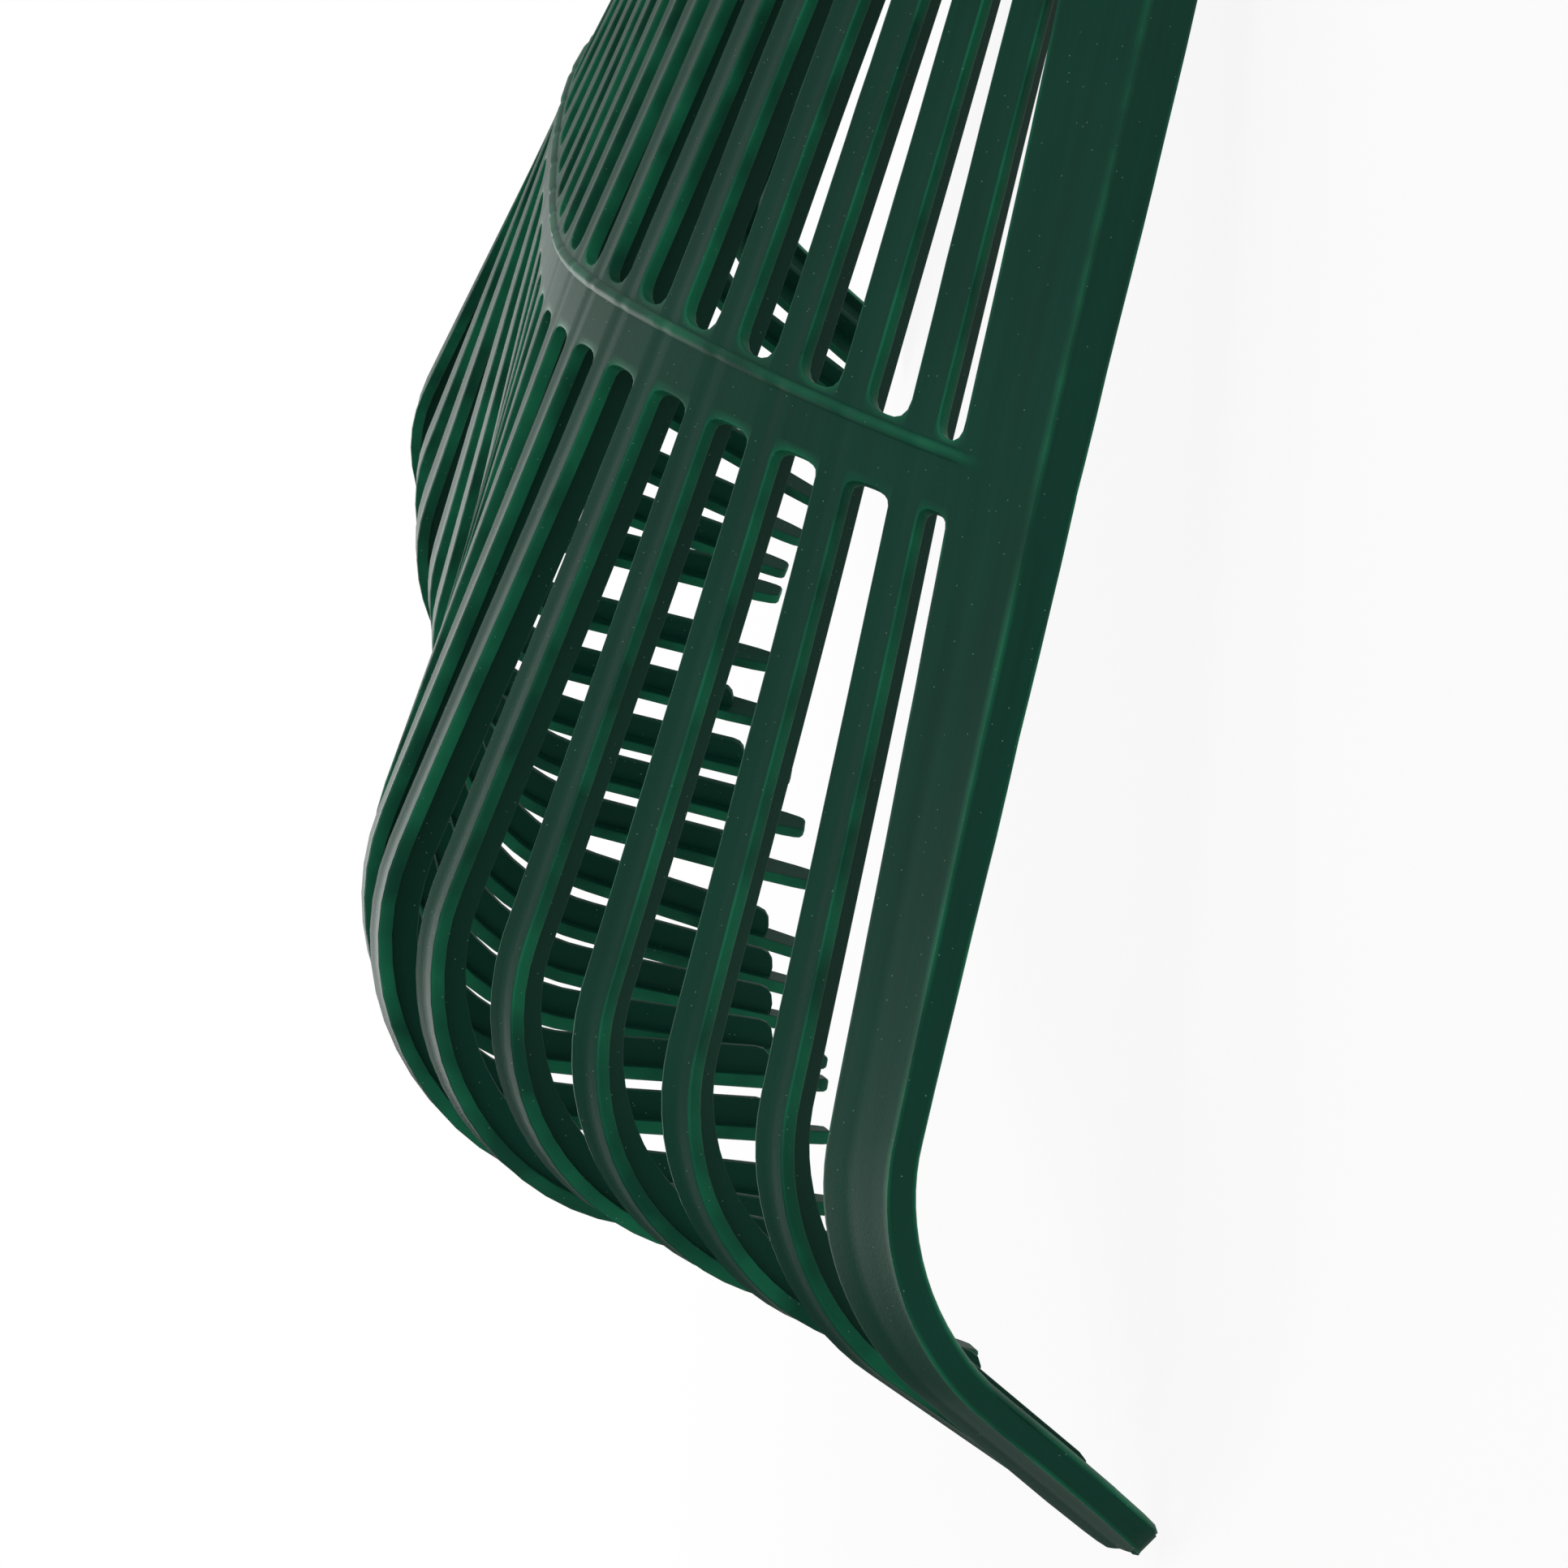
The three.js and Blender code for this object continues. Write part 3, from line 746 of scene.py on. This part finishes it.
def grip_bar_mesh(name):
    """The bent bar, with a wider foot and a blind hole for a screw at each end."""
    hole = SCREW_DIAMETER / 2 + CLEARANCE
    rod, foot = GRIP_ROD / 2, FOOT_DIAMETER / 2
    start = [(SCREW_GRIP + HOLE_SPARE, hole), (HOLE_CHAMFER, hole), (0, hole + HOLE_CHAMFER)]
    start += rounded(0, foot, FOOT_ROUND)
    start += [(FOOT_THICKNESS + along, foot + out) for along, out in FOOT_SHOULDER]
    start += [(FOOT_THICKNESS + along, rod + out) for along, out in ROD_FILLET]
    first = start[-1][0]
    step = (bar_length - 2 * first) / BAR_STEPS
    body = [(first + step * k, rod) for k in range(1, BAR_STEPS)]
    end = [(bar_length - place, radius) for place, radius in reversed(start)]
    mesh = turned(name, start + body + end, BAR_SEGMENTS, grip_line)
    mesh.transform(grip_place)
    return mesh


def sleeve_mesh(name):
    """A rubber sleeve with shallow grooves round it and round ends, open along the bar."""
    half, outer = SLEEVE_LENGTH / 2, SLEEVE_DIAMETER / 2
    inner = GRIP_ROD / 2 + CLEARANCE
    start = [(-half + SLEEVE_MOUTH, inner), (-half, inner + SLEEVE_MOUTH)]
    start += rounded(-half, outer, SLEEVE_ROUND, SLEEVE_ROUND_STEPS)
    pitch = (SLEEVE_LENGTH - 2 * GROOVE_MARGIN) / (GROOVES - 1)
    grooves = []
    for k in range(GROOVES):
        middle = -half + GROOVE_MARGIN + k * pitch
        for shift, share in GROOVE_SECTION:
            grooves.append((middle + shift, outer - GROOVE_DEPTH * share))
    profile = start + grooves + [(-place, radius) for place, radius in reversed(start)]
    mesh = turned(name, profile, SLEEVE_SEGMENTS, lambda place: (ACROSS * place, ACROSS, UP))

    # The bore down the middle takes the place of the two end faces.
    work = bmesh.new()
    work.from_mesh(mesh)
    work.faces.ensure_lookup_table()
    bottom, top = work.faces[-2], work.faces[-1]
    first, last = list(bottom.verts)[::-1], list(top.verts)
    bmesh.ops.delete(work, geom=[bottom, top], context="FACES_ONLY")
    for k in range(SLEEVE_SEGMENTS):
        after = (k + 1) % SLEEVE_SEGMENTS
        work.faces.new((last[k], last[after], first[after], first[k]))
    work.to_mesh(mesh)
    work.free()
    mesh.transform(grip_place @ Matrix.Translation((0, 0, bar_level * MM)))
    return mesh


def screw_mesh(name, side):
    """A pan head screw seen from its head, with a cross recess."""
    top = boss_foot - CLEARANCE
    low = top - SCREW_HEAD_HEIGHT
    head, shank = SCREW_HEAD / 2, SCREW_DIAMETER / 2
    profile = [(low + HEAD_CROWN * ring * ring, ring) for ring in HEAD_RINGS]
    profile += [(low + along, head + out) for along, out in HEAD_SHOULDER]
    profile += [(top - HEAD_EDGE, head), (top, head - HEAD_EDGE)]
    profile += [(top, shank + STEM_FILLET), (top + STEM_FILLET, shank)]
    profile += [(screw_tip - SCREW_POINT, shank), (screw_tip, SCREW_POINT_RADIUS)]
    mesh = turned(name, profile, SCREW_SEGMENTS)
    for vertex in mesh.vertices:
        x, y, z = (value / MM for value in vertex.co)
        beyond = math.hypot(x, y)
        on_face = z < low + HEAD_SHOULDER[0][0] and beyond < RECESS_REACH
        if on_face and min(abs(x), abs(y)) < RECESS_HALF_WIDTH:
            vertex.co.z += RECESS_DEPTH * (1 - beyond / RECESS_REACH / 2) * MM
    mesh.transform(grip_place @ Matrix.Translation((side * pad_x * MM, 0, 0)))
    return mesh


# Materials.
def colour(text):
    """A linear colour from an sRGB hex value."""
    parts = [int(text[k : k + 2], 16) / 255 for k in (0, 2, 4)]
    return (*[c / 12.92 if c <= 0.04045 else ((c + 0.055) / 1.055) ** 2.4 for c in parts], 1.0)


def add(tree, kind, inputs=None, **settings):
    """A node with its settings, and a value or a link for each input named."""
    node = tree.nodes.new(kind)
    for name, value in settings.items():
        setattr(node, name, value)
    for name, value in (inputs or {}).items():
        if isinstance(value, bpy.types.NodeSocket):
            tree.links.new(value, node.inputs[name])
        else:
            node.inputs[name].default_value = value
    return node


def new_material(name):
    material = bpy.data.materials.new(name)
    material.use_nodes = True
    material.node_tree.nodes.clear()
    return material, material.node_tree


def finish_material(tree, shader):
    add(tree, "ShaderNodeOutputMaterial", {"Surface": shader})


def moulded_polypropylene():
    """Dark green polypropylene, injection moulded: a satin skin that turns pale at a grazing
    look, a paler green painted as glow of light through the thin edges and as highlight on the
    bead and folds, faint flow lines along the tines, and a little dust."""
    material, tree = new_material("moulded_polypropylene")
    grain = add(tree, "ShaderNodeAttribute", attribute_name="grain").outputs["Vector"]
    rim = add(tree, "ShaderNodeAttribute", attribute_name="rim").outputs["Fac"]
    place = add(tree, "ShaderNodeTexCoord").outputs["Object"]

    # Flow lines: about 2 mm across and 50 mm long, with finer ones between.
    stretch = add(tree, "ShaderNodeMapping", {"Vector": grain, "Scale": (0.5, 0.02, 1)})
    flow = add(
        tree,
        "ShaderNodeTexNoise",
        {"Vector": stretch.outputs[0], "Scale": 1, "Detail": 3},
    )
    # Clouding of the pigment, about 30 mm.
    cloud = add(tree, "ShaderNodeTexNoise", {"Vector": place, "Scale": 33, "Detail": 3})
    mixed = add(
        tree,
        "ShaderNodeMix",
        {"Factor": 0.5, "A": flow.outputs["Fac"], "B": cloud.outputs["Fac"]},
        data_type="FLOAT",
    )
    body = add(tree, "ShaderNodeValToRGB", {"Fac": mixed.outputs["Result"]})
    body.color_ramp.elements[0].position = 0.32
    body.color_ramp.elements[0].color = colour("0a392c")
    body.color_ramp.elements[1].position = 0.7
    body.color_ramp.elements[1].color = colour("0c4536")

    # Painted glow: thin edges and the bead are painted a lighter green, as light shining through
    # them, in patches of 11 mm.
    patchy = add(tree, "ShaderNodeTexNoise", {"Vector": place, "Scale": 90, "Detail": 2})
    patch = add(
        tree,
        "ShaderNodeMapRange",
        {
            "Value": patchy.outputs["Fac"],
            "From Min": 0.35,
            "From Max": 0.65,
            "To Min": 0.15,
            "To Max": 0.9,
        },
    )
    glow = add(tree, "ShaderNodeMath", {0: rim, 1: patch.outputs[0]}, operation="MULTIPLY")
    glow_painted = add(
        tree,
        "ShaderNodeMix",
        {"Factor": glow.outputs[0], "A": body.outputs["Color"], "B": colour("1c7654")},
        data_type="RGBA",
    )
    # Dust: specks of about 0.15 mm, a few to the square centimetre.
    specks = add(
        tree,
        "ShaderNodeTexVoronoi",
        {"Vector": place, "Scale": 1200, "Randomness": 1},
    )
    near = add(
        tree,
        "ShaderNodeMath",
        {0: specks.outputs["Distance"], 1: 0.09},
        operation="LESS_THAN",
    )
    chosen = add(tree, "ShaderNodeSeparateColor", {"Color": specks.outputs["Color"]})
    rare = add(
        tree,
        "ShaderNodeMath",
        {0: chosen.outputs[0], 1: 0.78},
        operation="GREATER_THAN",
    )
    dust = add(
        tree,
        "ShaderNodeMath",
        {0: near.outputs[0], 1: rare.outputs[0]},
        operation="MULTIPLY",
    )
    dusted = add(
        tree,
        "ShaderNodeMix",
        {"Factor": dust.outputs[0], "A": glow_painted.outputs["Result"], "B": colour("6e8f83")},
        data_type="RGBA",
    )
    # The mould's fine blasted skin, about 0.4 mm, over the flow lines.
    skin = add(tree, "ShaderNodeTexNoise", {"Vector": place, "Scale": 2400, "Detail": 2})
    bump = add(
        tree,
        "ShaderNodeBump",
        {"Strength": 0.12, "Distance": 0.0002, "Height": skin.outputs["Fac"]},
    )
    ridges = add(
        tree,
        "ShaderNodeBump",
        {
            "Strength": 0.03,
            "Distance": 0.0003,
            "Height": flow.outputs["Fac"],
            "Normal": bump.outputs[0],
        },
    )
    gloss = add(
        tree,
        "ShaderNodeMapRange",
        {
            "Value": flow.outputs["Fac"],
            "From Min": 0.3,
            "From Max": 0.7,
            "To Min": 0.5,
            "To Max": 0.54,
        },
    )
    shader = add(
        tree,
        "ShaderNodeBsdfPrincipled",
        {
            "Base Color": dusted.outputs["Result"],
            "Roughness": gloss.outputs[0],
            "IOR": 1.49,
            "Specular IOR Level": 0.1,
            "Normal": ridges.outputs[0],
        },
    )
    finish_material(tree, shader.outputs[0])
    return material


def moulded_rubber():
    """Black rubber, moulded: a matt skin with pores of about 0.6 mm, and a dusty bloom that
    greys it in clouds of about 17 mm."""
    material, tree = new_material("moulded_rubber")
    place = add(tree, "ShaderNodeTexCoord").outputs["Object"]
    bloom = add(tree, "ShaderNodeTexNoise", {"Vector": place, "Scale": 60, "Detail": 4})
    body = add(tree, "ShaderNodeValToRGB", {"Fac": bloom.outputs["Fac"]})
    body.color_ramp.elements[0].color = colour("151716")
    body.color_ramp.elements[1].color = colour("2a2d2b")
    pores = add(tree, "ShaderNodeTexNoise", {"Vector": place, "Scale": 1600, "Detail": 3})
    bump = add(
        tree,
        "ShaderNodeBump",
        {"Strength": 0.35, "Distance": 0.0003, "Height": pores.outputs["Fac"]},
    )
    shader = add(
        tree,
        "ShaderNodeBsdfPrincipled",
        {
            "Base Color": body.outputs["Color"],
            "Roughness": 0.72,
            "IOR": 1.52,
            "Normal": bump.outputs[0],
        },
    )
    finish_material(tree, shader.outputs[0])
    return material


def zinc_plated_steel():
    """Steel with a zinc plate: bright, and clouded duller in patches of about 2 mm."""
    material, tree = new_material("zinc_plated_steel")
    place = add(tree, "ShaderNodeTexCoord").outputs["Object"]
    dull = add(tree, "ShaderNodeTexNoise", {"Vector": place, "Scale": 500, "Detail": 3})
    body = add(tree, "ShaderNodeValToRGB", {"Fac": dull.outputs["Fac"]})
    body.color_ramp.elements[0].color = colour("a9abae")
    body.color_ramp.elements[1].color = colour("cdd0d2")
    rough = add(
        tree,
        "ShaderNodeMapRange",
        {"Value": dull.outputs["Fac"], "To Min": 0.22, "To Max": 0.42},
    )
    shader = add(
        tree,
        "ShaderNodeBsdfPrincipled",
        {"Base Color": body.outputs["Color"], "Metallic": 1.0, "Roughness": rough.outputs[0]},
    )
    finish_material(tree, shader.outputs[0])
    return material


def seen_by_camera_or_mirror(tree):
    """1 for a ray from the camera, or one that a mirror or glass sends on."""
    path = add(tree, "ShaderNodeLightPath")
    shiny = add(
        tree,
        "ShaderNodeMath",
        {0: path.outputs["Is Glossy Ray"], 1: path.outputs["Is Transmission Ray"]},
        operation="MAXIMUM",
    )
    either = add(
        tree,
        "ShaderNodeMath",
        {0: path.outputs["Is Camera Ray"], 1: shiny.outputs[0]},
        operation="MAXIMUM",
    )
    return either.outputs[0]


def white_floor():
    """White studio paper that keeps a soft shadow."""
    material, tree = new_material("white_paper")
    place = add(tree, "ShaderNodeTexCoord").outputs["Object"]
    tooth = add(tree, "ShaderNodeTexNoise", {"Vector": place, "Scale": 900, "Detail": 2})
    bump = add(
        tree,
        "ShaderNodeBump",
        {"Strength": 0.1, "Distance": 0.0002, "Height": tooth.outputs["Fac"]},
    )
    paper = add(
        tree,
        "ShaderNodeBsdfPrincipled",
        {"Base Color": colour("f7f7f6"), "Roughness": 0.9, "Normal": bump.outputs[0]},
    )
    lit = add(tree, "ShaderNodeEmission", {"Color": (1, 1, 1, 1), "Strength": FLOOR_GLOW})
    far = add(tree, "ShaderNodeVectorMath", {0: place}, operation="LENGTH")
    share = add(
        tree,
        "ShaderNodeMapRange",
        {
            "Value": far.outputs["Value"],
            "From Min": FLOOR_NEAR,
            "From Max": FLOOR_FAR,
            "To Min": FLOOR_SHARE,
            "To Max": 1.0,
        },
    )
    seen = add(
        tree,
        "ShaderNodeMath",
        {0: seen_by_camera_or_mirror(tree), 1: share.outputs[0]},
        operation="MULTIPLY",
    )
    mix = add(
        tree,
        "ShaderNodeMixShader",
        {0: seen.outputs[0], 1: paper.outputs[0], 2: lit.outputs[0]},
    )
    finish_material(tree, mix.outputs[0])
    return material


# The hand's place in the part's frame: its tilt from the mount's direction, its place from
# the middle of the sleeve.
mount_axis = Vector(frame["record"]["mounts"][0]["axis"])
hand_tilt = math.atan2(-mount_axis.y, mount_axis.z) - grip_tilt
tilting = Matrix.Rotation(hand_tilt, 4, "X")
low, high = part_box("hand_a_grip_sleeve")
sleeve_middle = tilting @ grip_place @ Vector((0, 0, bar_level * MM))
hand_place = Matrix.Translation((low + high) / 2 - sleeve_middle) @ tilting


def link(name, mesh):
    """A new object in the scene, from a mesh, a lamp or a camera."""
    piece = bpy.data.objects.new(name, mesh)
    bpy.context.scene.collection.objects.link(piece)
    return piece


def apply_modifiers(piece):
    """Leaves the mesh as the modifiers show it, with none of them."""
    bpy.context.view_layer.update()
    shown = piece.evaluated_get(bpy.context.evaluated_depsgraph_get())
    mesh = bpy.data.meshes.new_from_object(shown)
    piece.modifiers.clear()
    piece.data = mesh


def split_many_sided(mesh):
    """Splits the faces of five or more sides that a join leaves round a boss. Split evenly, they
    hold no slivers."""
    work = bmesh.new()
    work.from_mesh(mesh)
    wide = [face for face in work.faces if len(face.verts) > 4]
    bmesh.ops.triangulate(work, faces=wide, ngon_method="BEAUTY")
    work.to_mesh(mesh)
    work.free()


def scoop_mesh():
    """The fan with its two bosses and their holes."""
    scoop = link("scoop_in_the_making", fan_mesh("scoop"))
    helpers = []
    for side in (-1, 1):
        boss, drill = (link(mesh.name, mesh) for mesh in boss_mesh(f"boss_{side}", side))
        helpers += [boss, drill]
        for tool, operation in ((boss, "UNION"), (drill, "DIFFERENCE")):
            cut = scoop.modifiers.new(tool.name, "BOOLEAN")
            cut.object, cut.operation, cut.solver = tool, operation, "MANIFOLD"
    apply_modifiers(scoop)
    mesh = scoop.data
    split_many_sided(mesh)
    for helper in [scoop, *helpers]:
        bpy.data.objects.remove(helper)
    return mesh


def shade(mesh):
    """Smooth over round stretches, and sharp at true edges."""
    for polygon in mesh.polygons:
        polygon.use_smooth = True
    mesh.set_sharp_from_angle(angle=rad(SHARP_ANGLE))


polypropylene = moulded_polypropylene()
rubber = moulded_rubber()
zinc = zinc_plated_steel()

MAKERS = [
    ("scoop", "moulding", polypropylene, scoop_mesh),
    ("grip_bar", "moulding", polypropylene, lambda: grip_bar_mesh("grip_bar")),
    ("grip_sleeve", "sleeve", rubber, lambda: sleeve_mesh("grip_sleeve")),
    ("grip_screw_left", "screw", zinc, lambda: screw_mesh("grip_screw_left", -1)),
    ("grip_screw_right", "screw", zinc, lambda: screw_mesh("grip_screw_right", 1)),
]
half_turn = Matrix.Rotation(math.pi, 4, "Z")
for part, slot, material, make in MAKERS:
    mesh = make()
    mesh.transform(hand_place)
    mesh.materials.clear()
    mesh.materials.append(material)
    shade(mesh)
    for body, place in (("hand_a", Matrix.Identity(4)), ("hand_b", half_turn)):
        copy = mesh.copy()
        copy.transform(place)
        piece = link(f"{body}_{part}_finished", copy)
        even = piece.modifiers.new("even_shading", "WEIGHTED_NORMAL")
        even.keep_sharp = True
        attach(piece, body)
        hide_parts(f"{body}_{part}")



# The studio: a white floor, a white sky, two lamps and the camera.
def lay_floor():
    mesh = bpy.data.meshes.new("floor")
    reach = FLOOR_REACH
    corners = [(-reach, -reach, 0), (reach, -reach, 0), (reach, reach, 0), (-reach, reach, 0)]
    mesh.from_pydata(corners, [], [(0, 1, 2, 3)])
    mesh.materials.append(white_floor())
    floor = link("floor", mesh)
    floor.location.z = -FLOOR_DROP


def light_sky():
    """White to the camera, and half as strong to the object, with one dim side."""
    world = bpy.data.worlds.new("studio")
    bpy.context.scene.world = world
    world.use_nodes = True
    sky = world.node_tree
    sky.nodes.clear()
    direction = add(sky, "ShaderNodeTexCoord").outputs["Generated"]
    toward = add(
        sky,
        "ShaderNodeVectorMath",
        {0: direction, 1: DIM_SIDE},
        operation="DOT_PRODUCT",
    )
    dimmed = add(
        sky,
        "ShaderNodeMapRange",
        {
            "Value": toward.outputs["Value"],
            "From Min": DIM_FROM,
            "From Max": DIM_FULL,
            "To Min": 1.0,
            "To Max": DIM_SHARE,
        },
    )
    seen = add(
        sky,
        "ShaderNodeMapRange",
        {"Value": seen_by_camera_or_mirror(sky), "To Min": SKY_STRENGTH, "To Max": 1.0},
    )
    lit = add(
        sky,
        "ShaderNodeMath",
        {0: seen.outputs[0], 1: dimmed.outputs[0]},
        operation="MULTIPLY",
    )
    path = add(sky, "ShaderNodeLightPath")
    strength = add(
        sky,
        "ShaderNodeMath",
        {0: path.outputs["Is Camera Ray"], 1: lit.outputs[0]},
        operation="MAXIMUM",
    )
    light = add(
        sky,
        "ShaderNodeBackground",
        {"Color": (1, 1, 1, 1), "Strength": strength.outputs[0]},
    )
    add(sky, "ShaderNodeOutputWorld", {"Surface": light.outputs[0]})


def hang_lamp(name, place, aim, size, watts):
    data = bpy.data.lights.new(name, "AREA")
    data.size, data.energy = size, watts
    lamp = link(name, data)
    lamp.location = place
    lamp.rotation_euler = (Vector(aim) - Vector(place)).to_track_quat("-Z", "Y").to_euler()


def stand_camera():
    eye = hand_place @ (Vector(CAMERA_PLACE) * MM)
    back = (eye - hand_place @ (Vector(CAMERA_AIM) * MM)).normalized()
    right = (hand_place.to_3x3() @ Vector(CAMERA_UP)).cross(back).normalized()
    turn = Matrix((right, back.cross(right), back)).transposed().to_4x4()
    data = bpy.data.cameras.new("camera")
    data.lens, data.sensor_width = CAMERA_LENS, CAMERA_SENSOR
    data.clip_start = CAMERA_CLIP
    camera = link("camera", data)
    camera.matrix_world = Matrix.Translation(eye) @ turn
    bpy.context.scene.camera = camera


lay_floor()
light_sky()
hang_lamp("broad_lamp", place=(-1.2, -0.9, 1.0), aim=(0, -0.15, 0.05), size=1.0, watts=17)
hang_lamp("rear_lamp", place=(0.9, 0.7, 1.2), aim=(0, 0, 0.05), size=1.0, watts=6)
stand_camera()
bpy.context.scene.view_settings.view_transform = "Standard"
